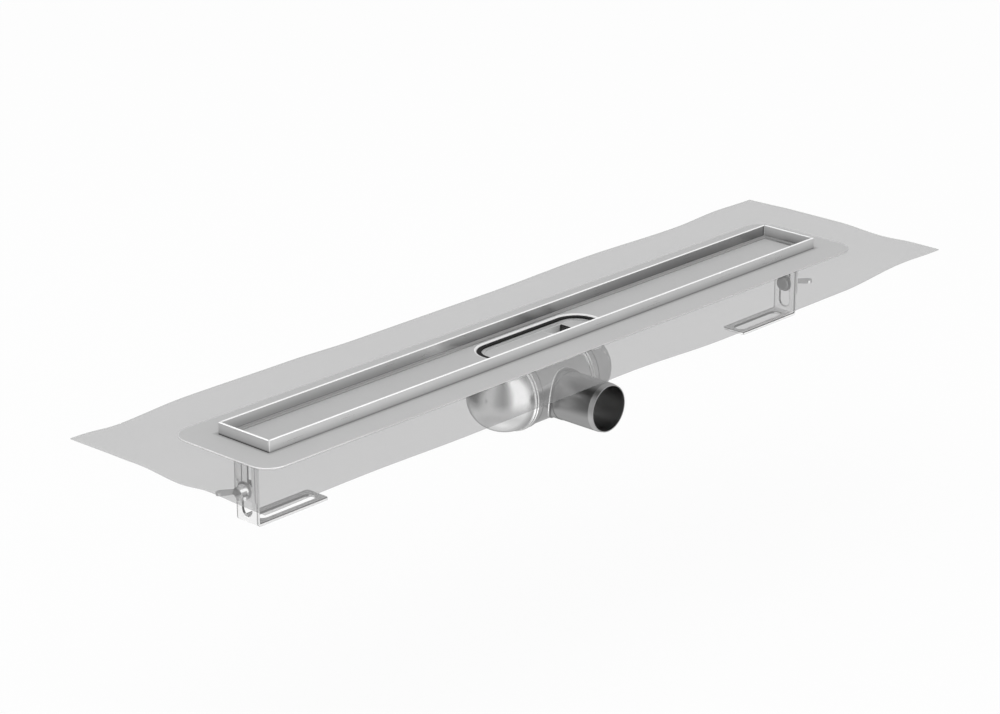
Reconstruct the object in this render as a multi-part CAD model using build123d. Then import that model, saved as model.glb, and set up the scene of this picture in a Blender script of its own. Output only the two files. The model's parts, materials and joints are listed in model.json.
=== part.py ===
from build123d import *
from math import cos, pi, sqrt
import os

# A linear shower drain with a sealing membrane, a tiling frame, a water trap and two adjustable feet.
# Millimetres. The origin lies between the two feet, on the level of their undersides. X runs along the
# channel, the outlet points along -Y, and +Z is up.

# Levels, counted down from the top of the flange
flange_level = 80.0
recess_depth = 3.0
bolt_depth = 46.5
lid_depth = 5.8
seat_depth = 10.0
weir_top_depth = 32.0

# Tiling frame
frame_length = 800.0
frame_width = 68.0
frame_height = 11.7
frame_wall = 2.0
frame_ledge = 2.5
ledge_drop = 0.5
shadow_gap = 0.8

# Channel tray
sheet = 1.2
flange_margin = 32.5
flange_corner = 22.0
recess_corner = 2.0

# Sealing membrane, bonded under the flange
membrane_end_margin = 62.5
membrane_side_margin = 63.5
membrane_thickness = 1.0
window_gap = 0.5
bond_gap = 0.15
corner_drop = 1.5
length_steps = 66
width_steps = 26

# Waves of the membrane's free edges, as (place in half lengths of that edge, drop)
back_waves = ((-1, 1.8), (-0.91, 4.4), (-0.71, 0.2), (-0.45, 0.9), (-0.26, 2.9), (0.12, 3.0),
              (0.43, 0.9), (0.73, 3.4), (0.89, 0.5), (1, 0.8))
front_waves = ((-1, 1.0), (-0.75, 0.1), (-0.48, 1.8), (-0.04, 1.7), (0.27, 6.2), (0.66, 5.9),
               (0.87, 0.1), (1, 0.6))
left_waves = ((-1, 1.6), (-0.45, 0.1), (-0.14, 3.5), (0.27, 0.5), (0.45, 0.9), (1, 0.8))
right_waves = ((-1, 1.4), (-0.8, 1.2), (-0.42, 3.2), (0.04, 0.2), (1, 0.3))

# Oval outlet, drawn down from the floor of the channel
opening_straight = 109.0
collar_wall = 1.2
lip_radius = 2.6
lip_margin = 1.5
seat_width = 3.5
seat_thickness = 1.2

# Trap body
neck_height = 9.2
trap_radius = 37.6
trap_wall = 1.0
cap_inset = 8.5
socket_length = 9.5
socket_gap = 0.1
cap_neck = 1.5
dome_length = 44.5

# Outlet pipe
pipe_radius = 25.0
pipe_wall = 1.9
pipe_drop = 5.0
spigot_length = 54.4
pipe_neck_length = 2.0
pipe_neck_rise = 0.4
pipe_end_taper = 5.5
pipe_end_inset = 0.9
weld_width = 1.8
weld_height = 1.5

# Trap insert, seal, dip skirt and weir
fit_gap = 0.1
seal_wall = 4.5
seal_height = 5.9
seal_lip = 1.3
lid_sheet = 1.0
lid_edge_width = 3.0
lid_edge_height = 1.2
well_length = 29.0
well_depth = 12.0
well_end_inset = 5.5
well_side_gap = 1.0
skirt_wall = 1.0
skirt_inset = 2.9
skirt_floor_gap = 7.0
weir_gap = 2.0
weir_thickness = 1.2

# Brackets
bracket_width = 28.5
hanger_sheet = 2.0
hanger_tab = 14.0
hanger_edge = 5.3
hanger_slot_width = 8.6
hanger_slot_pitch = 15.4
hanger_slot_length = 24.0
hanger_slot_web = 1.3
foot_sheet = 2.5
foot_length = 90.0
foot_bend = 3.5
foot_tip_corner = 3.0
foot_slot_width = 13.5
sole_slot_start = 12.0
sole_slot_margin = 6.0
leg_head_room = 3.8
leg_slot_margin = 7.0

# Fasteners
bolt_radius = 4.0
bolt_clearance = 0.2
thread_clearance = 0.05
bolt_head_rim = 3.2
bolt_head_height = 4.0
bolt_head_edge = 1.2
bolt_end_chamfer = 0.8
bolt_projection = 1.0
washer_rim = 4.7
washer_thickness = 1.6
nut_base_wall = 3.2
nut_top_wall = 1.4
nut_height = 8.0
wing_span = 39.0
wing_height = 20.0
wing_lift = 0.2
wing_root_radius = 3.6
wing_tip_radius = 5.4
wing_thickness = 3.0
left_wing_turn = -7.0
right_wing_turn = -2.0

# Levels and places that follow
recess_level = flange_level - recess_depth
tray_underside = recess_level - sheet
flange_underside = flange_level - sheet
frame_top = flange_level + frame_height
flange_length = frame_length + 2 * flange_margin
flange_width = frame_width + 2 * flange_margin
recess_length = frame_length + 2 * shadow_gap
recess_width = frame_width + 2 * shadow_gap
ledge_level = flange_level - ledge_drop
channel_length = frame_length - 2 * (frame_wall + frame_ledge)
channel_width = frame_width - 2 * (frame_wall + frame_ledge)
membrane_length = flange_length + 2 * membrane_end_margin
membrane_width = flange_width + 2 * membrane_side_margin

trap_bore = trap_radius - trap_wall
trap_axis_level = tray_underside - neck_height - trap_radius
pipe_axis_level = trap_axis_level - pipe_drop
pipe_reach = trap_radius + spigot_length
tube_half = opening_straight / 2 - cap_inset
dome_start = tube_half + cap_neck

lip_half = channel_width / 2 - lip_margin
opening_half = lip_half - lip_radius
collar_half = opening_half + collar_wall
seat_level = flange_level - seat_depth
lid_half = opening_half - seal_wall
lid_top = flange_level - lid_depth
lid_plate_top = lid_top - lid_edge_height
lid_plate_bottom = lid_plate_top - lid_sheet
skirt_half = lid_half - skirt_inset
well_width = 2 * (skirt_half - skirt_wall - well_side_gap - lid_sheet)
well_end = opening_straight / 2 - well_end_inset
well_start = well_end - well_length

bolt_level = flange_level - bolt_depth
bolt_hole = bolt_radius + bolt_clearance
hanger_outer_face = frame_length / 2
hanger_bottom = bolt_level - bolt_hole - hanger_edge
hanger_slot_bottom = bolt_level + bolt_hole + hanger_slot_web
leg_outer_face = hanger_outer_face - hanger_sheet
leg_inner_face = leg_outer_face - foot_sheet
leg_height = tray_underside - hanger_sheet - leg_head_room
nut_start = hanger_outer_face + washer_thickness


def stadium(half_width, low, high):
    """An upright oval block, as wide as the opening or narrower, with the opening's two end centres."""
    outline = SlotOverall(opening_straight + 2 * half_width, 2 * half_width)
    return extrude(Plane.XY.offset(low) * outline, high - low)


def stadium_ring(outer_half, inner_half, low, high):
    return stadium(outer_half, low, high) - stadium(inner_half, low, high)


def oval_ring(section):
    """A ring around the outlet, from its section across the back of the opening."""
    back = extrude(Plane.YZ * section, opening_straight / 2, both=True)
    left_end = Pos(-opening_straight / 2, 0, 0) * revolve(Plane.YZ * section, Axis.Z, 180)
    return back + back.mirror(Plane.XZ) + left_end + left_end.mirror(Plane.YZ)


def block(length, width, low, high, corner=0.0):
    """A block centred on the channel, with its upright edges rounded."""
    outline = Rectangle(length, width)
    if corner > 0:
        outline = RectangleRounded(length, width, corner)
    return extrude(Plane.XY.offset(low) * outline, high - low)


def rod(radius, start, length, level):
    """A round bar along X."""
    plane = Plane(origin=(start, 0, level), x_dir=(0, 1, 0), z_dir=(1, 0, 0))
    return extrude(plane * Circle(radius), length)


outlet_plane = Plane(origin=(0, 0, pipe_axis_level), x_dir=(1, 0, 0), z_dir=(0, -1, 0))


def outlet_rod(radius, reach):
    """A round bar along the axis of the outlet pipe, from above the middle of the trap."""
    return extrude(outlet_plane * Circle(radius), reach)


def at_end(piece, side):
    """A piece made for the right end of the channel, or its mirror image for the left end."""
    if side > 0:
        return piece
    return piece.mirror(Plane.YZ)


def wave(place, knots):
    """The drop of an edge between its hand-picked places, level at each of them."""
    for (start, low), (end, high) in zip(knots, knots[1:]):
        if place <= end:
            share = (place - start) / (end - start)
            return low + (high - low) * (1 - cos(pi * share)) / 2
    return knots[-1][1]


def ease(distance, reach):
    """0 up to the flange, 1 at the free edge, level at both."""
    share = min(max(distance / reach, 0.0), 1.0)
    return share * share * (3 - 2 * share)


def membrane_point(x, y):
    along = ease(abs(x) - flange_length / 2, (membrane_length - flange_length) / 2)
    across = ease(abs(y) - flange_width / 2, (membrane_width - flange_width) / 2)
    long_edge = wave(2 * x / membrane_length, back_waves if y > 0 else front_waves)
    end_edge = wave(2 * y / membrane_width, right_waves if x > 0 else left_waves)
    drop = long_edge * across * (1 - along) + end_edge * along * (1 - across)
    drop += corner_drop * along * across
    return (x, y, flange_underside - bond_gap - drop)


def sealing_membrane():
    rows = []
    for i in range(length_steps + 1):
        x = membrane_length * (i / length_steps - 0.5)
        row = []
        for j in range(width_steps + 1):
            y = membrane_width * (j / width_steps - 0.5)
            row.append(membrane_point(x, y))
        rows.append(row)
    surface = Face.make_surface_from_array_of_points(rows, tol=0.02)
    sheet_solid = extrude(surface, amount=membrane_thickness, dir=(0, 0, -1))
    pan_wall = 2 * (sheet + window_gap)
    window = block(recess_length + pan_wall, recess_width + pan_wall, 0, flange_level)
    return sheet_solid - window


def channel_tray():
    """A flange around a shallow recess, in which the tiling frame stands."""
    flange = block(flange_length, flange_width, flange_underside, flange_level, flange_corner)
    pan = block(recess_length + 2 * sheet, recess_width + 2 * sheet, tray_underside, flange_level,
                recess_corner + sheet)
    recess = block(recess_length, recess_width, recess_level, flange_level, recess_corner)
    hole = stadium(lip_half + fit_gap, tray_underside, recess_level)
    return flange + pan - recess - hole


def upstand_frame():
    """An angle section around the channel. Its ledge stands in the recess and carries the cover."""
    outer = block(frame_length, frame_width, recess_level, frame_top)
    inside = block(frame_length - 2 * frame_wall, frame_width - 2 * frame_wall, ledge_level, frame_top)
    channel = block(channel_length, channel_width, recess_level, ledge_level)
    return outer - inside - channel


def dome_arc(grow):
    """A quarter of an ellipse, from the tip of a dome to its widest place, grown or shrunk by a gap."""
    return EllipticalCenterArc((dome_start, 0), dome_length + grow, trap_radius + grow,
                               start_angle=0, arc_size=90)


def trap_profile(grow):
    """Half the outline of the trap body, from the middle to the tip of the dome, grown by a gap."""
    radius = trap_radius + grow
    socket_radius = trap_radius + socket_gap + trap_wall + grow
    socket_start = tube_half - socket_length + socket_gap - grow
    socket_end = tube_half + socket_gap + grow
    with BuildLine() as line:
        Polyline((dome_start + dome_length + grow, 0), (0, 0), (0, radius), (socket_start, radius),
                 (socket_start, socket_radius), (socket_end, socket_radius),
                 (socket_end + trap_wall, radius), (dome_start, radius))
        dome_arc(grow)
    return make_face(line.line)


def trap_envelope(grow):
    """The whole body as one block, to cut away what would stand inside it."""
    half = revolve(Plane.XZ * trap_profile(grow), Axis.X)
    whole = half + half.mirror(Plane.YZ)
    return Pos(0, 0, trap_axis_level) * whole


def trap_cavity(shrink):
    """The room inside the body, kept clear of its wall by a gap."""
    radius = trap_bore - shrink
    tip = dome_start + dome_length - trap_wall - shrink
    with BuildLine() as line:
        Polyline((tip, 0), (0, 0), (0, radius), (dome_start, radius))
        dome_arc(-trap_wall - shrink)
    half = revolve(Plane.XZ * make_face(line.line), Axis.X)
    return Pos(0, 0, trap_axis_level) * (half + half.mirror(Plane.YZ))


def outlet_collar():
    """The oval neck, drawn out in a round lip to the floor of the channel, with the seat of the insert."""
    lip_level = recess_level - lip_radius
    inner_arc = lip_radius - collar_wall
    with BuildLine() as line:
        Polyline((opening_half, lip_level), (opening_half, trap_axis_level), (collar_half, trap_axis_level),
                 (collar_half, lip_level))
        CenterArc((lip_half, lip_level), inner_arc, 180, -90)
        Line((lip_half, lip_level + inner_arc), (lip_half, recess_level))
        CenterArc((lip_half, lip_level), lip_radius, 90, 90)
    neck = oval_ring(make_face(line.line)) - trap_envelope(fit_gap)
    seat = stadium_ring(opening_half + collar_wall / 2, opening_half - seat_width,
                        seat_level - seat_thickness, seat_level)
    return neck + seat


def trap_tube():
    """The middle of the body, open at the top under the neck and at the side for the outlet."""
    outer = rod(trap_radius, -tube_half, 2 * tube_half, trap_axis_level)
    inner = rod(trap_bore, -tube_half, 2 * tube_half, trap_axis_level)
    branch_hole = outlet_rod(pipe_radius - pipe_wall, pipe_reach)
    return outer - inner - branch_hole - stadium(opening_half, trap_axis_level, flange_level)


def end_cap(side):
    """A drawn dome whose open end is widened to a socket over the end of the tube."""
    socket_bore = trap_radius + socket_gap
    socket_start = tube_half - socket_length + socket_gap
    stop = tube_half + socket_gap
    tip = dome_start + dome_length
    with BuildLine() as line:
        Polyline((dome_start, trap_bore), (stop, trap_bore), (stop, socket_bore),
                 (socket_start, socket_bore), (socket_start, socket_bore + trap_wall),
                 (stop, socket_bore + trap_wall), (stop + trap_wall, trap_radius),
                 (dome_start, trap_radius))
        dome_arc(0)
        Line((tip, 0), (tip - trap_wall, 0))
        dome_arc(-trap_wall)
    shell = Pos(0, 0, trap_axis_level) * revolve(Plane.XZ * make_face(line.line), Axis.X)
    shell = shell - stadium(opening_half, trap_axis_level, flange_level)
    return at_end(shell, side)


def outlet_pipe():
    """The spigot, cut to the saddle of the body, with its weld, its neck and its tapered end."""
    straight_reach = pipe_reach - pipe_end_taper
    taper_start = outlet_plane.offset(straight_reach)
    taper_end = outlet_plane.offset(pipe_reach)
    taper = loft([taper_start * Circle(pipe_radius), taper_end * Circle(pipe_radius - pipe_end_inset)])
    weld = outlet_rod(pipe_radius + weld_width, straight_reach)
    weld = weld & rod(trap_radius + weld_height, -tube_half, 2 * tube_half, trap_axis_level)
    neck = outlet_rod(pipe_radius + pipe_neck_rise, trap_radius + pipe_neck_length)
    pipe = outlet_rod(pipe_radius, straight_reach) + taper + weld + neck
    pipe = pipe - rod(trap_radius + fit_gap, -tube_half, 2 * tube_half, trap_axis_level)
    return pipe - outlet_rod(pipe_radius - pipe_wall, pipe_reach)


def weir_plate():
    """An upright plate in front of the outlet. The water stands as high as its top edge."""
    plate = block(frame_length, weir_thickness, trap_axis_level - trap_radius, flange_level - weir_top_depth)
    plate = Pos(0, -opening_half - weir_gap, 0) * plate
    return plate & trap_cavity(fit_gap)


def chute(half_width, floor_thickness, top):
    """A block over the sloping floor of the chute, from the underside of the floor or from its top."""
    start_level = lid_plate_top - floor_thickness
    with BuildLine() as line:
        Polyline((well_start, start_level), (well_end, start_level - well_depth), (well_end, top),
                 (well_start, top), (well_start, start_level))
    return extrude(Plane.XZ * make_face(line.line), half_width, both=True)


def trap_insert_lid():
    """An oval pan with a raised edge. The water runs down a chute and in through the chute's open end."""
    pan = stadium(lid_half, lid_plate_bottom, lid_top)
    pan = pan - stadium(lid_half - lid_edge_width, lid_plate_top, lid_top)
    floor_thickness = lid_sheet * sqrt(1 + (well_depth / well_length) ** 2)
    pan = pan + chute(well_width / 2 + lid_sheet, floor_thickness, lid_plate_top)
    return pan - chute(well_width / 2, 0, lid_top)


def insert_seal():
    """A rubber ring of L section, which lies on the seat and carries the lid."""
    outer_half = opening_half - fit_gap
    upright = stadium_ring(outer_half, lid_half + fit_gap, seat_level, seat_level + seal_height)
    lip = stadium_ring(outer_half, lid_half - seal_lip, seat_level, lid_plate_bottom)
    return upright + lip


def dip_skirt():
    """The oval tube under the lid. Its lower edge stays under water, which keeps the smell out."""
    low = trap_axis_level - trap_bore + skirt_floor_gap
    return stadium_ring(skirt_half, skirt_half - skirt_wall, low, lid_plate_bottom)


def hanger(side):
    """The plate that carries the channel on a foot, welded under the floor by its tab."""
    plate = block(hanger_sheet, bracket_width, hanger_bottom, tray_underside)
    tab = block(hanger_tab, bracket_width, tray_underside - hanger_sheet, tray_underside)
    plate = Pos(hanger_outer_face - hanger_sheet / 2, 0, 0) * plate
    tab = Pos(hanger_outer_face - hanger_tab / 2, 0, 0) * tab
    slot_level = hanger_slot_bottom + hanger_slot_length / 2
    face = Plane(origin=(leg_outer_face, 0, slot_level), x_dir=(0, 1, 0), z_dir=(1, 0, 0))
    slot = SlotOverall(hanger_slot_length, hanger_slot_width, rotation=90)
    piece = plate + tab
    for place in (-1, 1):
        piece = piece - extrude(face * Pos(place * hanger_slot_pitch / 2, 0) * slot, hanger_sheet)
    piece = piece - rod(bolt_hole, leg_outer_face, hanger_sheet, bolt_level)
    return at_end(piece, side)


def foot(side):
    """An L-shaped foot: the bolt runs in the slot of its leg, and the floor screw in the slot of its sole."""
    with BuildLine() as line:
        FilletPolyline((leg_outer_face, leg_height), (leg_outer_face, 0),
                       (leg_outer_face - foot_length, 0), radius=foot_bend)
        FilletPolyline((leg_outer_face - foot_length, foot_sheet), (leg_inner_face, foot_sheet),
                       (leg_inner_face, leg_height), radius=foot_bend - foot_sheet)
        Line((leg_outer_face - foot_length, 0), (leg_outer_face - foot_length, foot_sheet))
        Line((leg_inner_face, leg_height), (leg_outer_face, leg_height))
    strip = extrude(Plane.XZ * make_face(line.line), bracket_width / 2, both=True)
    tips = strip.edges().filter_by(Axis.Z).group_by(Axis.X)[0]
    strip = fillet(tips, foot_tip_corner)
    sole_slot_length = foot_length - sole_slot_start - sole_slot_margin
    sole_slot_centre = leg_outer_face - sole_slot_start - sole_slot_length / 2
    sole_slot = extrude(Pos(sole_slot_centre, 0) * SlotOverall(sole_slot_length, foot_slot_width), foot_sheet)
    leg_slot_length = leg_height - 2 * leg_slot_margin
    face = Plane(origin=(leg_inner_face, 0, leg_height / 2), x_dir=(0, 1, 0), z_dir=(1, 0, 0))
    leg_slot = extrude(face * SlotOverall(leg_slot_length, foot_slot_width, rotation=90), foot_sheet)
    return at_end(strip - sole_slot - leg_slot, side)


def bolt(side):
    """A round-headed bolt through leg, hanger, washers and wing nut, with its head inside."""
    head_face = leg_inner_face - washer_thickness
    head = rod(bolt_radius + bolt_head_rim, head_face - bolt_head_height, bolt_head_height, bolt_level)
    head = fillet(head.edges().group_by(Axis.X)[0], bolt_head_edge)
    tip = nut_start + nut_height + bolt_projection
    shank = rod(bolt_radius, head_face, tip - head_face, bolt_level)
    shank = chamfer(shank.edges().group_by(Axis.X)[-1], bolt_end_chamfer)
    return at_end(head + shank, side)


def washer(side, start):
    ring = rod(bolt_radius + washer_rim, start, washer_thickness, bolt_level)
    ring = ring - rod(bolt_hole, start, washer_thickness, bolt_level)
    return at_end(ring, side)


def wing_nut(side, turn):
    """A conical hub with two rounded ears that lean outwards."""
    base = Plane(origin=(nut_start, 0, bolt_level), x_dir=(0, 1, 0), z_dir=(1, 0, 0))
    top = base.offset(nut_height)
    top_radius = bolt_radius + nut_top_wall
    hub = loft([base * Circle(bolt_radius + nut_base_wall), top * Circle(top_radius)])
    root = Pos(top_radius - wing_root_radius / 2, wing_root_radius + wing_lift) * Circle(wing_root_radius)
    tip = Pos(wing_span / 2 - wing_tip_radius, wing_height - wing_tip_radius) * Circle(wing_tip_radius)
    ear_outline = make_hull((root + tip).edges())
    ear_plane = Plane(origin=(nut_start, 0, bolt_level), x_dir=(0, 1, 0), z_dir=(0, 0, -1))
    ear = extrude(ear_plane * ear_outline, wing_thickness / 2, both=True)
    nut = hub + ear + ear.mirror(Plane.XZ)
    nut = nut - rod(bolt_radius + thread_clearance, nut_start, wing_height, bolt_level)
    nut = nut.rotate(Axis((0, 0, bolt_level), (1, 0, 0)), turn)
    return at_end(nut, side)


pieces = {
    "sealing_membrane": sealing_membrane(),
    "channel_tray": channel_tray(),
    "upstand_frame": upstand_frame(),
    "outlet_collar": outlet_collar(),
    "trap_tube": trap_tube(),
    "outlet_pipe": outlet_pipe(),
    "weir_plate": weir_plate(),
    "trap_insert_lid": trap_insert_lid(),
    "insert_seal": insert_seal(),
    "dip_skirt": dip_skirt(),
}
for name, side, turn in (("left", -1, left_wing_turn), ("right", 1, right_wing_turn)):
    pieces[name + "_end_cap"] = end_cap(side)
    pieces[name + "_hanger"] = hanger(side)
    pieces[name + "_foot"] = foot(side)
    pieces[name + "_bolt"] = bolt(side)
    pieces[name + "_inner_washer"] = washer(side, leg_inner_face - washer_thickness)
    pieces[name + "_outer_washer"] = washer(side, hanger_outer_face)
    pieces[name + "_wing_nut"] = wing_nut(side, turn)

os.makedirs("parts", exist_ok=True)
for name, piece in pieces.items():
    export_step(piece, f"parts/{name}.step")
    print(name, round(piece.volume), len(piece.solids()))
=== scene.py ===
# %% [markdown]
# # The looks of a linear shower drain
# A steel channel with an upright tiling frame is drained by a polished trap under its middle. Two slotted
# feet carry it, and a translucent sealing sheet is bonded under its flange. The solids come packed as a
# fixed frame. This lesson gives them rounded edges and finishes, draws the wavy sheet in a mesh of its own,
# and adds what the solids leave out: the beads and joints of the trap's sockets and the weld around the pipe.

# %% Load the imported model
import json
from math import cos, pi, radians, sin, sqrt

import bmesh
import bpy
from mathutils import Matrix, Vector


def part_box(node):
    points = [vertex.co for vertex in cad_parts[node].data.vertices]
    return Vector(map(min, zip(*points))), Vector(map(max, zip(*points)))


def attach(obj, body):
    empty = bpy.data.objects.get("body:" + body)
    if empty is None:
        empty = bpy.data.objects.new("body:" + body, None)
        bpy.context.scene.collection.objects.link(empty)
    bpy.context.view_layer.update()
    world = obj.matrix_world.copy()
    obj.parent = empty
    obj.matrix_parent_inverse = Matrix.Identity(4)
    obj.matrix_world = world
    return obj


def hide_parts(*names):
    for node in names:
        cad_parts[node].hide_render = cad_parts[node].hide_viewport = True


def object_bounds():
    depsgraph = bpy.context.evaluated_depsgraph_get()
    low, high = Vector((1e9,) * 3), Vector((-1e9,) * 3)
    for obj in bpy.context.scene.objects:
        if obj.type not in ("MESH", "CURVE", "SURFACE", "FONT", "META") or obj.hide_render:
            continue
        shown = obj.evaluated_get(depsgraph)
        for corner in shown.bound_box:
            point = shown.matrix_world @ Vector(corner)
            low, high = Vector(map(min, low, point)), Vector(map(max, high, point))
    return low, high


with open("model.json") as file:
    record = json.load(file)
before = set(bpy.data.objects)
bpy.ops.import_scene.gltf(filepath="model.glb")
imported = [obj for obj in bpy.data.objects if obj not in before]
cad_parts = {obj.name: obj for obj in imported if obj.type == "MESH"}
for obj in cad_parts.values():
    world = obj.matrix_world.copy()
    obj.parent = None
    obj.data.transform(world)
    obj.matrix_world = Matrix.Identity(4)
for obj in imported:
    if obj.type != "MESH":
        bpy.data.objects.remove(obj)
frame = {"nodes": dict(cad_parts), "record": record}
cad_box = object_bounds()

MM = 0.001
WHITE_LEVEL = 0.995
nodes = frame["nodes"]
print("nodes", len(nodes), "box", [round(v, 4) for v in (*cad_box[0], *cad_box[1])])

# %% [markdown]
# ## The camera
# The view was found from the vanishing lines of the channel: a long lens from the front left, looking
# down by about twenty degrees. The camera is placed by one direction and one point, so no helper that
# depends on the render size is needed.

# %% Camera
CAMERA_PLACE = Vector((-2.2065, -2.0005, 1.1587))
CAMERA_BACK = Vector((-0.68624, -0.63898, 0.34753)).normalized()
CAMERA_LENS = 114.61

camera_data = bpy.data.cameras.new("camera")
camera_data.lens = CAMERA_LENS
camera_data.sensor_width = 36.0
camera_data.clip_start = 0.05
camera_data.clip_end = 60.0
camera = bpy.data.objects.new("camera", camera_data)
camera.location = CAMERA_PLACE
camera.rotation_mode = "QUATERNION"
camera.rotation_quaternion = CAMERA_BACK.to_track_quat("Z", "Y")
bpy.context.scene.collection.objects.link(camera)
bpy.context.scene.camera = camera
print("camera looks along", [round(-v, 3) for v in CAMERA_BACK])

# %% [markdown]
# ## Shader maths as plain expressions
# A material in Blender is a graph of nodes. Written out one by one the nodes hide the idea, so a small
# class wraps a socket and lets `+`, `-`, `*` and `/` add the Math nodes. Every other node comes from one
# method that sets a node's options first and connects its inputs afterwards.

# %% Shader helpers
class Wire:
    """One output socket of a node, which can be used in sums and products."""

    def __init__(self, graph, socket):
        self.graph = graph
        self.socket = socket

    def math(self, operation, first, second):
        return self.graph.node("ShaderNodeMath", {"operation": operation}, {0: first, 1: second})

    def __add__(self, other):
        return self.math("ADD", self, other)

    def __radd__(self, other):
        return self.math("ADD", other, self)

    def __sub__(self, other):
        return self.math("SUBTRACT", self, other)

    def __rsub__(self, other):
        return self.math("SUBTRACT", other, self)

    def __mul__(self, other):
        return self.math("MULTIPLY", self, other)

    def __rmul__(self, other):
        return self.math("MULTIPLY", other, self)

    def __truediv__(self, other):
        return self.math("DIVIDE", self, other)

    def size(self):
        """The value without its sign."""
        return self.math("ABSOLUTE", self, 0.0)


class Graph:
    """The node graph of a material or of the world."""

    def __init__(self, tree):
        self.tree = tree

    def node(self, kind, settings=None, inputs=None, output=0):
        """Adds a node, sets its options, connects its inputs and gives back one of its outputs."""
        made = self.tree.nodes.new(kind)
        for name, value in (settings or {}).items():
            if name == "stops":
                ramp = made.color_ramp
                while len(ramp.elements) < len(value):
                    ramp.elements.new(0.5)
                for element, (place, grey) in zip(ramp.elements, value):
                    element.position = place
                    element.color = (grey, grey, grey, 1)
            else:
                setattr(made, name, value)
        for key, value in (inputs or {}).items():
            self.connect(made.inputs[key], value)
        return Wire(self, made.outputs[output]) if made.outputs else None

    def connect(self, socket, value):
        if isinstance(value, Wire):
            self.tree.links.new(value.socket, socket)
        else:
            socket.default_value = value

    def fade(self, value, start, end, low=0.0, high=1.0):
        """low while the value is below start, high once it is above end, and evenly between them."""
        return self.node("ShaderNodeMapRange", {}, {"Value": value, "From Min": start, "From Max": end,
                                                    "To Min": low, "To Max": high})


class Finish(Graph):
    """A material with one Principled shader, whose constant values are set on its own sockets."""

    def __init__(self, name, base, roughness, metallic=1.0, **more):
        self.material = bpy.data.materials.new(name)
        self.material.use_nodes = True
        super().__init__(self.material.node_tree)
        self.shader = self.tree.nodes["Principled BSDF"]
        values = {"Base Color": (base, base, base, 1), "Roughness": roughness, "Metallic": metallic}
        values.update(more)
        for key, value in values.items():
            self.shader.inputs[key].default_value = value

    def set(self, key, value):
        self.connect(self.shader.inputs[key], value)

    def place(self, scale=(1, 1, 1)):
        """Object coordinates, stretched for a pattern."""
        here = self.node("ShaderNodeTexCoord", output="Object")
        return self.node("ShaderNodeMapping", {}, {"Vector": here, "Scale": scale})

    def coordinate(self, axis):
        """The place along one axis of the object."""
        here = self.node("ShaderNodeTexCoord", output="Object")
        return self.node("ShaderNodeSeparateXYZ", {}, {0: here}, output="XYZ".index(axis))

    def along(self, axis, start, end):
        """How far a point lies from start to end along an axis of the object, from 0 to 1."""
        return self.node("ShaderNodeMapRange", {"interpolation_type": "SMOOTHSTEP"},
                         {"Value": self.coordinate(axis), "From Min": start, "From Max": end})

    def noise(self, place, scale, detail=2.0, roughness=0.5):
        return self.node("ShaderNodeTexNoise", {}, {"Vector": place, "Scale": scale, "Detail": detail,
                                                    "Roughness": roughness})

    def bump(self, height, distance):
        self.set("Normal", self.node("ShaderNodeBump", {}, {"Height": height, "Distance": distance,
                                                            "Strength": 1.0}))


def between(low, high, share):
    """The grey level that lies a share of the way from low to high. Greys are plain numbers here."""
    return low + (high - low) * share


def larger(first, second):
    return first.math("MAXIMUM", first, second)


print("shader helpers ready")

# %% [markdown]
# ## Light
# The photograph is a studio cut-out: a white ground and a soft, even light. Plain surfaces are lit by a
# gentle gradient, lighter overhead than below. Metal only looks like metal when it mirrors something, so
# glossy rays see a studio of their own: a belt of soft boxes and dark cloths that changes with the compass
# direction, over a bright table, which is darker towards the right and the back. The belt is a list of
# directions, in degrees from +X towards +Y, each with the brightness found there.

# %% World
BRIGHTEST = 2.0
STUDIO_BELT = (
    (-180, 0.92), (-166, 0.88), (-150, 0.60), (-131, 0.32), (-119, 0.50), (-109, 1.00), (-98, 2.00),
    (-68, 2.00), (-60, 1.25), (-52, 0.75), (-44, 0.53), (43, 0.50), (80, 0.30), (96, 0.03), (138, 0.03),
    (151, 0.35), (167, 0.70), (180, 0.92))
TABLE_BRIGHTNESS = ((-90, 0.95), (-75, 0.80), (-60, 0.72), (-45, 0.88), (-30, 0.95))
TABLE_SHARE = ((-40, 1.0), (-26, 0.55), (-10, 0.0))
PLAIN_SKY = ((-90, 0.45), (0, 0.60), (14, 0.80), (90, 0.90))

# The table is dimmed where a ray points far enough to the right (its X) or towards the back
RIGHT_FADE = (0.40, 0.66)
BACK_FADE = (0.55, 0.75)
BACK_X = 0.73
BACK_Y = 0.68
TABLE_DIMMING = 0.55


def by_azimuth(belt):
    return [((azimuth + 180) / 360, brightness / BRIGHTEST) for azimuth, brightness in belt]


def by_elevation(steps):
    return [(sin(radians(elevation)) * 0.5 + 0.5, value) for elevation, value in steps]


world = bpy.data.worlds.new("studio")
bpy.context.scene.world = world
world.use_nodes = True
world.node_tree.nodes.clear()
sky = Graph(world.node_tree)
ray_direction = sky.node("ShaderNodeTexCoord", output="Generated")
ray_x, ray_y, ray_z = (sky.node("ShaderNodeSeparateXYZ", {}, {0: ray_direction}, output=i) for i in range(3))
height = ray_z * 0.5 + 0.5
compass = ray_x.math("ARCTAN2", ray_y, ray_x) / (2 * pi) + 0.5
belt = sky.node("ShaderNodeValToRGB", {"stops": by_azimuth(STUDIO_BELT)}, {0: compass}) * BRIGHTEST
table = sky.node("ShaderNodeValToRGB", {"stops": by_elevation(TABLE_BRIGHTNESS)}, {0: height})
to_right = sky.fade(ray_x, *RIGHT_FADE)
to_back = sky.fade(ray_x * BACK_X + ray_y * BACK_Y, *BACK_FADE)
table_side = 1.0 - TABLE_DIMMING * larger(to_right, to_back)
table_share = sky.node("ShaderNodeValToRGB", {"stops": by_elevation(TABLE_SHARE)}, {0: height})
mirrored = belt + table_share * (table * table_side - belt)
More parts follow.
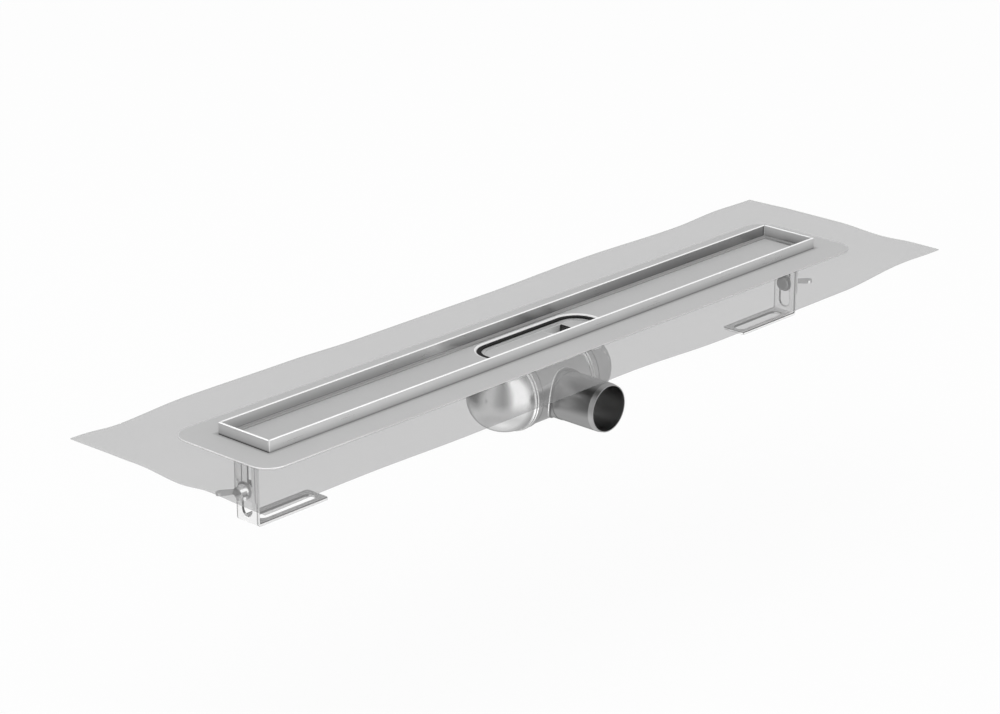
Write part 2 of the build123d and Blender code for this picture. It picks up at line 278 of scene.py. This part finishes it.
plain = sky.node("ShaderNodeValToRGB", {"stops": by_elevation(PLAIN_SKY)}, {0: height})
is_glossy = sky.node("ShaderNodeLightPath", output="Is Glossy Ray")
studio_light = sky.node("ShaderNodeBackground", {}, {"Color": plain + is_glossy * (mirrored - plain),
                                                     "Strength": 1.0})
white_ground = sky.node("ShaderNodeBackground", {}, {"Color": (1, 1, 1, 1), "Strength": WHITE_LEVEL})
white_rays = larger(sky.node("ShaderNodeLightPath", output="Is Camera Ray"),
                    sky.node("ShaderNodeLightPath", output="Is Transmission Ray"))
shown = sky.node("ShaderNodeMixShader", {}, {0: white_rays, 1: studio_light, 2: white_ground})
sky.node("ShaderNodeOutputWorld", {}, {"Surface": shown})
print("world nodes", len(world.node_tree.nodes))

# %% [markdown]
# The floor is pale and lies about 20 cm below the drain, which is fixed by its feet and doesn't rest on
# its trap. To the camera the floor is nearly white and keeps only a trace of the shadow. Metal doesn't
# mirror it, because the bright table of the glossy studio stands in for it.

# %% Floor
FLOOR_DROP = 190 * MM
FLOOR_LEVEL = cad_box[0].z - FLOOR_DROP
FLOOR_HALF = 15.0
FLOOR_ALBEDO = 0.88
CAMERA_WHITE = 0.93


def stage_plane(name, half_length, half_width, matrix, material):
    """A flat rectangle that belongs to the studio, not to the object."""
    mesh = bpy.data.meshes.new(name)
    bm = bmesh.new()
    bmesh.ops.create_grid(bm, x_segments=1, y_segments=1, size=1.0)
    bmesh.ops.scale(bm, verts=bm.verts, vec=(half_length, half_width, 1))
    bmesh.ops.transform(bm, verts=bm.verts, matrix=matrix)
    bm.to_mesh(mesh)
    bm.free()
    mesh.materials.append(material)
    plane = bpy.data.objects.new(name, mesh)
    bpy.context.scene.collection.objects.link(plane)
    return plane


floor_material = bpy.data.materials.new("pale_floor")
floor_material.use_nodes = True
floor_material.node_tree.nodes.clear()
ground = Graph(floor_material.node_tree)
paint = ground.node("ShaderNodeBsdfDiffuse", {}, {"Color": (FLOOR_ALBEDO,) * 3 + (1,)})
glow = ground.node("ShaderNodeEmission", {}, {"Color": (1, 1, 1, 1), "Strength": WHITE_LEVEL})
seen = ground.node("ShaderNodeLightPath", output="Is Camera Ray") * CAMERA_WHITE
ground.node("ShaderNodeOutputMaterial", {},
            {"Surface": ground.node("ShaderNodeMixShader", {}, {0: seen, 1: paint, 2: glow})})
floor = stage_plane("floor", FLOOR_HALF, FLOOR_HALF, Matrix.Translation((0, 0, FLOOR_LEVEL)), floor_material)
floor.visible_glossy = False
print("floor level", round(FLOOR_LEVEL, 4))

# %% [markdown]
# A large soft lamp hangs overhead. A second one, far off to the front left, lifts the brackets, which face
# that way. Metal doesn't mirror either of them, since it has the studio's belt of soft boxes instead.

# %% Lamps
def soft_lamp(name, place, target, width, height, watts):
    data = bpy.data.lights.new(name, "AREA")
    data.shape = "RECTANGLE"
    data.size = width
    data.size_y = height
    data.energy = watts
    lamp = bpy.data.objects.new(name, data)
    lamp.location = place
    lamp.rotation_mode = "QUATERNION"
    lamp.rotation_quaternion = (Vector(place) - Vector(target)).to_track_quat("Z", "Y")
    bpy.context.scene.collection.objects.link(lamp)
    return lamp


overhead = soft_lamp("overhead", (-0.3, 0.5, 2.6), (0, 0, 0), width=2.6, height=2.0, watts=12.0)
left_fill = soft_lamp("left_fill", (-5.2, -3.3, 0.35), (0, 0, 0.05), width=4.0, height=1.0, watts=250.0)
for lamp in (overhead, left_fill):
    lamp.visible_glossy = False

# %% [markdown]
# ## Steel in several finishes
# All the metal is stainless steel, but not in one finish. The channel is rolled sheet with a satin grain
# along its length. The trap is drawn and turned, so its faint lines run around it. The brackets are
# pickled and a little cloudy. The bolts and washers are smooth and carry a painted shade that makes them
# darker, and the cast wing nuts a painted light that makes them brighter.
# A pickled or satin surface throws light back in all directions, so part of it is treated as plain grey and
# part as metal. Each finish has a roughness and tiny bumps that vary at the scale of the real surface, with
# very little change of colour. A shade function paints shade or light into a finish, making it darker or
# lighter from place to place.

# %% Steel finishes
frame_low, frame_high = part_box("upstand_frame")
flange_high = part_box("channel_tray")[1]
FRAME_WALL = 2 * MM
# Where the chute's painted shade turns dark, along X
CHUTE_SHADE_SPAN = (45.5 * MM, 48 * MM)

# A bracket's painted dark line: it starts, is full, begins to end and is gone this far from the long edge
OUTLINE_START = 1.8 * MM
OUTLINE_FULL = 1.1 * MM
OUTLINE_FADES = 0.5 * MM
OUTLINE_GONE = 0.2 * MM

# Scales of the grain along X, Y and Z
ALONG_X = (14, 900, 900)
ALONG_LID = (30, 700, 700)
CUT_EDGE = (60, 60, 900)
ACROSS_X = (500, 60, 60)
EVEN_COARSE = (200, 200, 200)
EVEN = (260, 260, 260)
EVEN_FINE = (300, 300, 300)


def cloudy_steel(name, base, roughness, grain, grain_depth, metallic=1.0, cloud=0.04, shade=None):
    """Metal with a directional grain and broad cloudy differences in gloss. grain is the pattern's scale
    along X, Y and Z: small along the grain, large across it. shade darkens the base from place to place,
    mostly as painted shade."""
    steel = Finish(name, base, roughness, metallic)
    lines = steel.noise(steel.place(scale=grain), 1.0, detail=3.0, roughness=0.6)
    clouds = steel.noise(steel.place(), 22.0, detail=2.0)
    steel.set("Roughness", roughness + (lines - 0.5) * 0.10 + (clouds - 0.5) * cloud * 2)
    grey = between(base * 0.95, base * 1.04, clouds * 0.6 + lines * 0.4)
    steel.set("Base Color", grey * shade(steel) if shade else grey)
    steel.bump(lines, grain_depth)
    return steel


def outer_shade(steel):
    """Painted shade: darker towards the foot of the frame, most of all at the left end, and the whole face a
    little darker from the top down.
    """
    off_foot = steel.along("Z", flange_high.z - 0.5 * MM, flange_high.z + 1.8 * MM)
    off_left_end = steel.along("X", frame_low.x + 0.2 * MM, frame_low.x + 0.8 * MM)
    foot = 1.0 - (1.0 - off_foot) * (0.92 - 0.47 * off_left_end)
    return foot * (0.66 + 0.34 * steel.along("Z", flange_high.z, frame_high.z - 2 * MM))


def inner_shade(steel):
    """Painted shade: darker towards the foot, towards the far end and in the corners."""
    foot = 0.62 + 0.38 * steel.along("Z", flange_high.z + 1 * MM, frame_high.z)
    ledge = 0.55 + 0.45 * steel.along("Z", flange_high.z + 0.3 * MM, flange_high.z + 1.5 * MM)
    far = 1.0 - 0.42 * steel.along("X", -0.05, 0.25)
    corner = 1.0 - 0.6 * steel.along("X", frame_high.x - FRAME_WALL - 5 * MM, frame_high.x - FRAME_WALL)
    return foot * ledge * far * corner


def rim_highlight_fade(steel):
    """The painted highlight on the flange's cut edge fades towards the right end."""
    return 1.0 - 0.40 * steel.along("X", -0.40, -0.25)


def flange_shade(steel):
    """A thin shadow on the flange along the foot of the frame."""
    x = steel.coordinate("X").size()
    y = steel.coordinate("Y").size()
    off_frame = larger(x - frame_high.x, y - frame_high.y)
    return steel.fade(off_frame, 1.0 * MM, 5.0 * MM, low=0.66)


def chute_shade(steel):
    """Painted shade: the chute turns dark towards its far end, where it falls away into the trap."""
    return 1.0 - 0.95 * steel.along("X", *CHUTE_SHADE_SPAN)


def outlined(node):
    """Painted shade and light for a bracket: a dark line along both long edges, and a little more light at
    the right end.
    """
    half_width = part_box(node)[1].y

    def shade(steel):
        off_middle = steel.coordinate("Y").size()
        line = steel.fade(off_middle, half_width - OUTLINE_START, half_width - OUTLINE_FULL)
        side = steel.fade(off_middle, half_width - OUTLINE_FADES, half_width - OUTLINE_GONE)
        return (1.0 - 0.6 * (line - side)) * (0.76 + 0.24 * steel.along("X", -0.2, 0.2))

    return shade


def bead_shade(steel):
    """Painted shade: the beads are darker under the trap."""
    return 0.45 + 0.55 * steel.along("Z", 2 * MM, 22 * MM)


def mitre_shade(steel):
    """A fine dark line across the top of the frame at each corner, where two bars were mitred."""
    x = steel.coordinate("X").size()
    y = steel.coordinate("Y").size()
    off_line = ((frame_high.x - x) - (frame_high.y - y)).size()
    return steel.fade(off_line, 0.3 * MM, 0.8 * MM, low=0.35)


channel_satin = cloudy_steel("channel_satin_steel", 0.65, 0.42, ALONG_X, 0.010 * MM, metallic=0.4)
flange_satin = cloudy_steel("flange_satin_steel", 0.65, 0.42, ALONG_X, 0.010 * MM, metallic=0.4,
                            shade=flange_shade)
frame_outside = cloudy_steel("frame_outside_steel", 0.72, 0.30, ALONG_X, 0.004 * MM, metallic=0.8,
                             shade=outer_shade)
# A darker copy of the frame's steel for its inner walls: a painted shade.
frame_inside_shaded = cloudy_steel("frame_inside_steel", 0.52, 0.30, ALONG_X, 0.010 * MM, metallic=0.85,
                            shade=inner_shade)
# The ledge is a still darker copy of the frame's steel: a painted shade.
frame_ledge_shaded = cloudy_steel("frame_ledge_steel", 0.40, 0.40, ALONG_X, 0.010 * MM, metallic=0.4)
# The top of the frame is nearly white, a painted highlight, crossed by the dark mitre lines.
frame_top_highlight = cloudy_steel("frame_top_steel", 1.0, 0.30, CUT_EDGE, 0.006 * MM, metallic=0.1,
                         shade=mitre_shade)
# Nearly white rounds on the rim of the tray: a painted highlight.
rim_highlight = cloudy_steel("ground_edge_steel", 0.95, 0.30, CUT_EDGE, 0.006 * MM, metallic=0.2,
                           shade=rim_highlight_fade)
insert_satin = cloudy_steel("insert_satin_steel", 0.66, 0.38, ALONG_LID, 0.010 * MM, metallic=0.4)
# The chute is a lighter copy of the lid's steel, a painted light, with a painted shade at its far end.
chute_lit_and_shaded = cloudy_steel("chute_light_steel", 0.74, 0.40, ALONG_LID, 0.010 * MM, metallic=0.1,
                           shade=chute_shade)
# The outlet's lip is nearly white: a painted highlight.
lip_highlight = cloudy_steel("lip_polished_steel", 1.0, 0.24, EVEN_COARSE, 0.004 * MM, metallic=0.05)
foot_pickled = cloudy_steel("foot_pickled_steel", 0.97, 0.45, ACROSS_X, 0.010 * MM, metallic=0.15,
                            cloud=0.07, shade=outlined("left_foot"))
hanger_pickled = cloudy_steel("hanger_pickled_steel", 0.97, 0.45, ACROSS_X, 0.010 * MM, metallic=0.15,
                              cloud=0.07, shade=outlined("left_hanger"))
# Dark rounds and slot walls on the brackets: a painted shade.
bracket_outline_shade = cloudy_steel("bracket_edge_steel", 0.12, 0.35, EVEN_FINE, 0.006 * MM, metallic=0.3)
# The bolts and washers are a darker copy of the fastener steel, a painted shade, and the wing nuts a brighter
# one, a painted light.
fastener_shaded = cloudy_steel("fastener_smooth_steel", 0.32, 0.18, EVEN, 0.006 * MM, cloud=0.05)
nut_lit = cloudy_steel("nut_cast_steel", 0.90, 0.16, EVEN, 0.010 * MM, cloud=0.07)
print("steel finishes", len(bpy.data.materials))

# %% [markdown]
# Drawn and turned metal has fine rings around the axis of the trap. Noise that is stretched along Y and Z
# and very short along X gives such rings on the tube and, close enough, on the domes.

# %% Turned finishes
pipe_low, pipe_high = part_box("outlet_pipe")
PIPE_AXIS_LEVEL = (pipe_low.z + pipe_high.z) / 2
BORE_RADIUS = 23.6 * MM


def pipe_shade(steel):
    """Painted light: the bore and the rolled end of the pipe are lighter than its outside."""
    x = steel.coordinate("X")
    height = steel.coordinate("Z") - PIPE_AXIS_LEVEL
    off_axis = x * x + height * height
    outside = steel.node("ShaderNodeMath", {"operation": "GREATER_THAN"}, {0: off_axis, 1: BORE_RADIUS ** 2})
    rolled_end = 1.0 - steel.along("Y", pipe_low.y + 5 * MM, pipe_low.y + 6 * MM)
    return 1.35 + outside * (rolled_end * 0.45 - 0.35)


def turned_steel(name, base, roughness, shade=None):
    steel = Finish(name, base, roughness)
    rings = steel.noise(steel.place(scale=(900, 6, 6)), 1.0, detail=2.0)
    clouds = steel.noise(steel.place(), 30.0, detail=3.0)
    steel.set("Roughness", roughness + (rings - 0.5) * 0.05 + (clouds - 0.5) * 0.05)
    grey = between(base * 0.95, base * 1.04, clouds)
    steel.set("Base Color", grey * shade(steel) if shade else grey)
    steel.bump(rings, 0.002 * MM)
    return steel


trap_turned = turned_steel("trap_turned_steel", 0.80, 0.16)
# The pipe is a darker copy of the trap's steel: a painted shade.
pipe_lit_and_shaded = turned_steel("pipe_drawn_steel", 0.36, 0.30, shade=pipe_shade)
# Nearly white beads and weld: a painted highlight.
weld_highlight = cloudy_steel("weld_bright_steel", 1.0, 0.20, EVEN_FINE, 0.004 * MM, metallic=0.2,
                           shade=bead_shade)
# A dark ring at each socket's joint: a painted shade.
joint_shade = cloudy_steel("joint_dark_steel", 0.12, 0.40, EVEN_FINE, 0.004 * MM, metallic=0.5)

# %% [markdown]
# The seal is black rubber, which only shows as a dark ring around the insert. The sheet is a milky
# plastic: about half of the light passes straight through it, so the trap and the brackets show behind it.

# %% Rubber and sheet
seal_rubber = Finish("seal_rubber", 0.010, 0.6, 0.0, **{"Specular IOR Level": 0.2})
rubber_dust = seal_rubber.noise(seal_rubber.place(), 400.0, detail=2.0)
seal_rubber.set("Base Color", between(0.008, 0.014, rubber_dust))
seal_rubber.bump(rubber_dust, 0.02 * MM)

SHEET_ALPHA = 0.352
SHEET_FIBRES = (700, 700, 700)
milky_sheet = Finish("milky_sheet", 0.29, 0.50, metallic=0.0, Alpha=SHEET_ALPHA)
sheet_clouds = milky_sheet.noise(milky_sheet.place(), 9.0, detail=3.0)
sheet_fibres = milky_sheet.noise(milky_sheet.place(scale=SHEET_FIBRES), 1.0, detail=2.0)
milky_sheet.set("Base Color", between(0.28, 0.30, sheet_clouds))
milky_sheet.bump(sheet_fibres, 0.02 * MM)
print("finishes", [m.name for m in bpy.data.materials if m.use_nodes])

# %% [markdown]
# ## Rounded edges on cut and folded sheet
# No sheared or machined edge is perfectly sharp, and the thin glints along such edges are what makes metal
# look like metal. A CAD node can't be bevelled itself, so a copy is merged, its flat faces are joined
# again, and its sharp edges get a small round. Each face picks its finish by its place: the rounds on the
# rim of the tray and on top of the frame carry a painted highlight, the rounds and slot walls of the
# brackets a dark painted shade, and the inside and ledge of the frame a painted shade. Weighted normals
# keep the large faces flat. The copy then stands for the node on its body.

# %% Softened copies of the solids
bodies = frame["record"]["behaviour"]["bodies"]
body_of_node = {name: body for body, names in bodies.items() for name in names}
slot_of_node = {row["node"]: row["material_slot"] for row in frame["record"]["subparts"]}
SHARP = radians(32)
FLAT = radians(0.3)
MERGE_DISTANCE = 0.002 * MM


def add_piece(name, mesh, finishes, body, slot, *stands_for):
    for polygon in mesh.polygons:
        polygon.use_smooth = True
    mesh.set_sharp_from_angle(angle=SHARP)
    for finish in finishes:
        mesh.materials.append(finish.material)
    piece = bpy.data.objects.new(name, mesh)
    bpy.context.scene.collection.objects.link(piece)
    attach(piece, body)
    if stands_for:
        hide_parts(*stands_for)
    return piece


def softened(node, finishes, edge_round, finish_index):
    """A copy of a node with rounded edges. finish_index picks a face's finish. It is given the face's
    middle, its normal and whether it comes from the bevel, and some finishes need only part of that."""
    bm = bmesh.new()
    bm.from_mesh(nodes[node].data)
    bmesh.ops.remove_doubles(bm, verts=bm.verts, dist=MERGE_DISTANCE)
    bmesh.ops.dissolve_limit(bm, angle_limit=FLAT, verts=bm.verts, edges=bm.edges)
    sharp = [e for e in bm.edges if len(e.link_faces) == 2 and e.calc_face_angle() > SHARP]
    rounded = bmesh.ops.bevel(bm, geom=sharp, offset=edge_round, affect="EDGES", segments=2, profile=0.5,
                              material=-1, clamp_overlap=True)["faces"]
    rounded = set(rounded)
    for face in bm.faces:
        face.material_index = finish_index(face.calc_center_median(), face.normal, face in rounded)
    bmesh.ops.triangulate(bm, faces=[f for f in bm.faces if len(f.verts) > 4])
    mesh = bpy.data.meshes.new(node + "_softened")
    bm.to_mesh(mesh)
    bm.free()
    for extra in ("custom_normal", "sharp_edge", "sharp_face"):
        if mesh.attributes.get(extra):
            mesh.attributes.remove(mesh.attributes[extra])
    print(node, "faces", len(mesh.polygons))
    piece = add_piece(node + "_softened", mesh, finishes, body_of_node[node], slot_of_node[node], node)
    flat = piece.modifiers.new("flat_faces", "WEIGHTED_NORMAL")
    flat.keep_sharp = True
    return piece


TOP_ROUND = 0.8 * MM
SLACK = 0.1 * MM
RIM_WIDTH = 25 * MM
RIM_DEPTH = 2 * MM
STEEP = 0.7
LID_PLATE_DROP = 1.3 * MM
CHUTE_START = 15 * MM
SLOT_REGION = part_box("left_foot")[1].y - 3 * MM
lid_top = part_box("trap_insert_lid")[1].z


def frame_finish(middle, normal, is_round):
    # Finish 0 is the painted highlight of the top, 2 and 3 the painted shade of the inside and the ledge.
    if middle.z > frame_high.z - TOP_ROUND:
        return 0
    off_end = frame_high.x - abs(middle.x)
    off_side = frame_high.y - abs(middle.y)
    if min(off_end, off_side) > FRAME_WALL + SLACK:
        return 3
    return 2 if off_side > FRAME_WALL / 2 and off_end > FRAME_WALL + SLACK else 1


def tray_finish(middle, normal, is_round):
    near_rim = max(abs(middle.x) - flange_high.x, abs(middle.y) - flange_high.y) > -RIM_WIDTH
    # Finish 0, the painted highlight, goes on the rounds along the rim.
    if is_round and near_rim and abs(middle.z - flange_high.z) < RIM_DEPTH:
        return 0
    return 2 if middle.z > flange_high.z - SLACK else 1


def bracket_finish(middle, normal, is_round):
    # Painted shade: the rounds and the walls of the slots take the dark finish 0.
    in_slot = abs(normal.z) < STEEP and abs(normal.x) < STEEP and abs(middle.y) < SLOT_REGION
    return 0 if is_round or in_slot else 1


def insert_finish(middle, normal, is_round):
    # Faces of the chute below the lid's plate take finish 1, with its painted light and shade.
    return 1 if middle.z < lid_top - LID_PLATE_DROP and middle.x > CHUTE_START else 0


upstand = softened("upstand_frame", (frame_top_highlight, frame_outside, frame_inside_shaded, frame_ledge_shaded), TOP_ROUND,
                   frame_finish)
tray = softened("channel_tray", (rim_highlight, channel_satin, flange_satin), 0.3 * MM, tray_finish)
softened("trap_insert_lid", (insert_satin, chute_lit_and_shaded), 0.2 * MM, insert_finish)
for side in ("left", "right"):
    softened(side + "_foot", (bracket_outline_shade, foot_pickled), 0.5 * MM, bracket_finish)
    softened(side + "_hanger", (bracket_outline_shade, hanger_pickled), 0.5 * MM, bracket_finish)

# %% [markdown]
# The other solids keep their own meshes and only get their finish. The slot that the record gives to a
# node picks the finish, with a few exceptions: the pipe carries a painted shade that makes it darker than
# the body, and a painted light in its bore and at its rolled end; the drawn lip of the outlet carries a
# painted highlight; and the cast wing nuts a painted light that makes them brighter.

# %% Finishes on the other solids
finish_of_slot = {"channel_steel": channel_satin, "trap_steel": trap_turned, "insert_steel": insert_satin,
                  "seal_rubber": seal_rubber, "bracket_steel": foot_pickled,
                  "fastener_steel": fastener_shaded, "membrane": milky_sheet}
finish_of_node = {"outlet_pipe": pipe_lit_and_shaded, "outlet_collar": lip_highlight, "left_wing_nut": nut_lit,
                  "right_wing_nut": nut_lit}
for name, node in nodes.items():
    finish = finish_of_node.get(name, finish_of_slot[slot_of_node[name]])
    node.data.materials.clear()
    node.data.materials.append(finish.material)
print("solids with a finish", len(nodes))

# %% [markdown]
# ## Weld beads of the trap
# Each socket of the end caps has two thin rolled beads at its left edge and a joint at its right, and a
# weld runs around the outlet pipe where it meets the body. The beads and the weld are nearly white, a
# painted highlight, and the joint is a dark ring, a painted shade. Each bead is a small circle spun into a
# ring. The pipe's ring is then pushed onto the saddle: every point slides along the pipe until it lies on
# the body.

# %% Weld beads
cap_low, cap_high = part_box("right_end_cap")
SOCKET_STEP = 1.1 * MM
SOCKET_LENGTH = 10.1 * MM
SOCKET_RADIUS = cap_high.y
BODY_AXIS_LEVEL = cap_low.z + SOCKET_RADIUS
BODY_RADIUS = SOCKET_RADIUS - SOCKET_STEP
SOCKET_START = cap_low.x
SOCKET_END = SOCKET_START + SOCKET_LENGTH
RING_STEPS = 120
RING_SIDES = 12
SINK_ON_SOCKET = 0.2 * MM
SINK_AT_EDGE = 0.7 * MM
BEAD_RADIUS = 0.8 * MM
BEAD_STEP = 3 * MM
WELD_RADIUS = 0.9 * MM
PIPE_WELD_RADIUS = pipe_high.x - 0.5 * MM


def bead(section_radius, ring_radius, place=0.0):
    """A round ring about the X axis, or moved along it."""
    bm = bmesh.new()
    bmesh.ops.create_circle(bm, segments=RING_SIDES, radius=section_radius)
    bmesh.ops.translate(bm, verts=bm.verts, vec=(place, ring_radius, 0))
    bmesh.ops.spin(bm, geom=bm.verts[:] + bm.edges[:], cent=(0, 0, 0), axis=(1, 0, 0), angle=2 * pi,
                   steps=RING_STEPS, use_merge=True, use_duplicate=False)
    bmesh.ops.recalc_face_normals(bm, faces=bm.faces)
    return bm


def finish_bead(bm, name, finish):
    mesh = bpy.data.meshes.new(name)
    bm.to_mesh(mesh)
    bm.free()
    return add_piece(name, mesh, (finish,), "root", "trap_steel")


sockets = (("left", -SOCKET_END, -SOCKET_START), ("right", SOCKET_START, SOCKET_END))
for side, left_edge, right_edge in sockets:
    for name, place, finish in (("outer_bead", left_edge, weld_highlight),
                                ("inner_bead", left_edge + BEAD_STEP, weld_highlight),
                                ("joint", right_edge, joint_shade)):
        on_socket = SOCKET_START < abs(place) < SOCKET_END
        sink = SINK_ON_SOCKET if on_socket else SINK_AT_EDGE
        bm = bead(BEAD_RADIUS, SOCKET_RADIUS - sink, place)
        bmesh.ops.translate(bm, verts=bm.verts, vec=(0, 0, BODY_AXIS_LEVEL))
        finish_bead(bm, side + "_" + name, finish)

bm = bead(WELD_RADIUS, PIPE_WELD_RADIUS)
bmesh.ops.rotate(bm, verts=bm.verts, cent=(0, 0, 0), matrix=Matrix.Rotation(radians(90), 3, "Z"))
bmesh.ops.translate(bm, verts=bm.verts, vec=(0, 0, PIPE_AXIS_LEVEL))
for v in bm.verts:
    height = v.co.z - BODY_AXIS_LEVEL
    v.co.y -= sqrt(BODY_RADIUS ** 2 - height ** 2)
finish_bead(bm, "outlet_weld", weld_highlight)

# %% [markdown]
# ## The sealing sheet
# The real sheet is bonded under the flange and stands out from it on all four sides. It isn't held there,
# so its free edges wave by a few millimetres. A grid is cut to the sheet's outline and window, each point
# is lowered by the waves of the nearest edges, and Solidify gives the sheet its thickness.

# %% Sealing sheet
SHEET_LENGTH = 990 * MM
SHEET_WIDTH = 260 * MM
SHEET_THICKNESS = 1.0 * MM
SHEET_CELL = 5 * MM
WINDOW_LENGTH = 805 * MM
WINDOW_WIDTH = 73 * MM
TRAY_SHEET = 1.2 * MM
BOND_GAP = 0.15 * MM
SHEET_TOP = flange_high.z - TRAY_SHEET - BOND_GAP
CORNER_DROP = 1.5 * MM

# Waves of the free edges, as (place in half lengths of that edge, drop in millimetres)
back_waves = ((-1, 1.8), (-0.91, 4.4), (-0.71, 0.2), (-0.45, 0.9), (-0.26, 2.9), (0.12, 3.0),
              (0.43, 0.9), (0.73, 3.4), (0.89, 0.5), (1, 0.8))
front_waves = ((-1, 1.0), (-0.75, 0.1), (-0.48, 1.8), (-0.04, 1.7), (0.27, 6.2), (0.66, 5.9),
               (0.87, 0.1), (1, 0.6))
left_waves = ((-1, 1.6), (-0.45, 0.1), (-0.14, 3.5), (0.27, 0.5), (0.45, 0.9), (1, 0.8))
right_waves = ((-1, 1.4), (-0.8, 1.2), (-0.42, 3.2), (0.04, 0.2), (1, 0.3))


def wave(place, knots):
    for (start, low), (end, high) in zip(knots, knots[1:]):
        if place <= end:
            share = (place - start) / (end - start)
            return (low + (high - low) * (1 - cos(pi * share)) / 2) * MM
    return knots[-1][1] * MM


def ease(distance, reach):
    share = min(max(distance / reach, 0.0), 1.0)
    return share * share * (3 - 2 * share)


def sheet_drop(x, y):
    along = ease(abs(x) - flange_high.x, SHEET_LENGTH / 2 - flange_high.x)
    across = ease(abs(y) - flange_high.y, SHEET_WIDTH / 2 - flange_high.y)
    long_edge = wave(2 * x / SHEET_LENGTH, back_waves if y > 0 else front_waves)
    end_edge = wave(2 * y / SHEET_WIDTH, right_waves if x > 0 else left_waves)
    drop = long_edge * across * (1 - along) + end_edge * along * (1 - across)
    return drop + CORNER_DROP * along * across


bm = bmesh.new()
bmesh.ops.create_grid(bm, x_segments=round(SHEET_LENGTH / SHEET_CELL),
                      y_segments=round(SHEET_WIDTH / SHEET_CELL), size=0.5)
bmesh.ops.scale(bm, verts=bm.verts, vec=(SHEET_LENGTH, SHEET_WIDTH, 1))
for axis, half in ((0, WINDOW_LENGTH / 2), (1, WINDOW_WIDTH / 2)):
    for sign in (-1, 1):
        normal = Vector((0, 0, 0))
        normal[axis] = sign
        bmesh.ops.bisect_plane(bm, geom=bm.verts[:] + bm.edges[:] + bm.faces[:], dist=0.01 * MM,
                               plane_co=normal * half, plane_no=normal)
window = [f for f in bm.faces if abs(f.calc_center_median().x) < WINDOW_LENGTH / 2
          and abs(f.calc_center_median().y) < WINDOW_WIDTH / 2]
bmesh.ops.delete(bm, geom=window, context="FACES")
sheet_area = sum(f.calc_area() for f in bm.faces)
for v in bm.verts:
    v.co.z = SHEET_TOP - sheet_drop(v.co.x, v.co.y)
sheet_mesh = bpy.data.meshes.new("sealing_sheet")
bm.to_mesh(sheet_mesh)
bm.free()
sealing_sheet = add_piece("sealing_sheet", sheet_mesh, (milky_sheet,), "root", "membrane", "sealing_membrane")
thickness = sealing_sheet.modifiers.new("thickness", "SOLIDIFY")
thickness.thickness = SHEET_THICKNESS
thickness.offset = -1.0
print("sheet faces", len(sheet_mesh.polygons), "flat area", round(sheet_area, 4))

# %% [markdown]
# In the photograph the trap mirrors a bright studio even where the sheet and the channel hang over it. So
# none of these shows in mirroring metal. They still throw their shadows.

# %% What metal doesn't mirror
covers = (tray, upstand, sealing_sheet)
for cover in covers:
    cover.visible_glossy = False
print("not mirrored", [cover.name for cover in covers])

# %% [markdown]
# Greys come out as they are written here, without a film curve.

# %% Colours as written
bpy.context.scene.view_settings.view_transform = "Standard"
